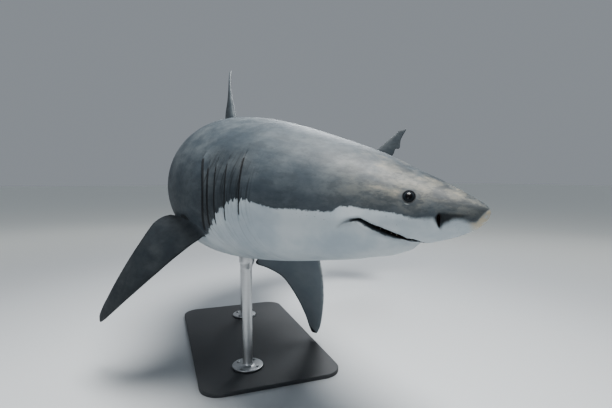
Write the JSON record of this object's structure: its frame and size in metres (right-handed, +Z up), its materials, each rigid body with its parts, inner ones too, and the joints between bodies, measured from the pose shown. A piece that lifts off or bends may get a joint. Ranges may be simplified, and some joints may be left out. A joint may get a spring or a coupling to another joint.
{
  "type": "great white shark display model",
  "caption": "Life-size great white shark in a gentle swimming turn, its fins spread and mouth nearly shut, held over a flat base by two upright rods.",
  "frame": {"origin": "centre of the underside of the stand's base", "axes": "+Z up; the middle of the trunk swims towards +X; the shark's left side is +Y, and head and tail both bend towards it"},
  "size_m": [2.9643, 2.8306, 1.9747],
  "materials": {
    "skin": "shark skin: slate grey above, white below along a crisp ragged line, fine grained with a low wet sheen",
    "eye": "near black, polished and wet looking",
    "teeth": "ivory white, slightly glossy",
    "stand_plate": "charcoal powder coat, satin, fine texture",
    "stand_rod": "stainless steel brushed round the rod"
  },
  "bodies": {
    "root": {"head": "skin", "lower_jaw": "skin", "eye_left": "eye", "eye_right": "eye", "gill_region": "skin", "trunk_front": "skin", "trunk_middle": "skin", "trunk_rear": "skin", "tail_stock": "skin", "first_dorsal_fin": "skin", "second_dorsal_fin": "skin", "anal_fin": "skin", "caudal_upper_lobe": "skin", "caudal_lower_lobe": "skin", "pectoral_fin_right": "skin", "pectoral_fin_left": "skin", "pelvic_fin_right": "skin", "pelvic_fin_left": "skin", "stand_base": "stand_plate", "stand_rod_front": "stand_rod", "stand_rod_rear": "stand_rod"}
  },
  "joints": []
}
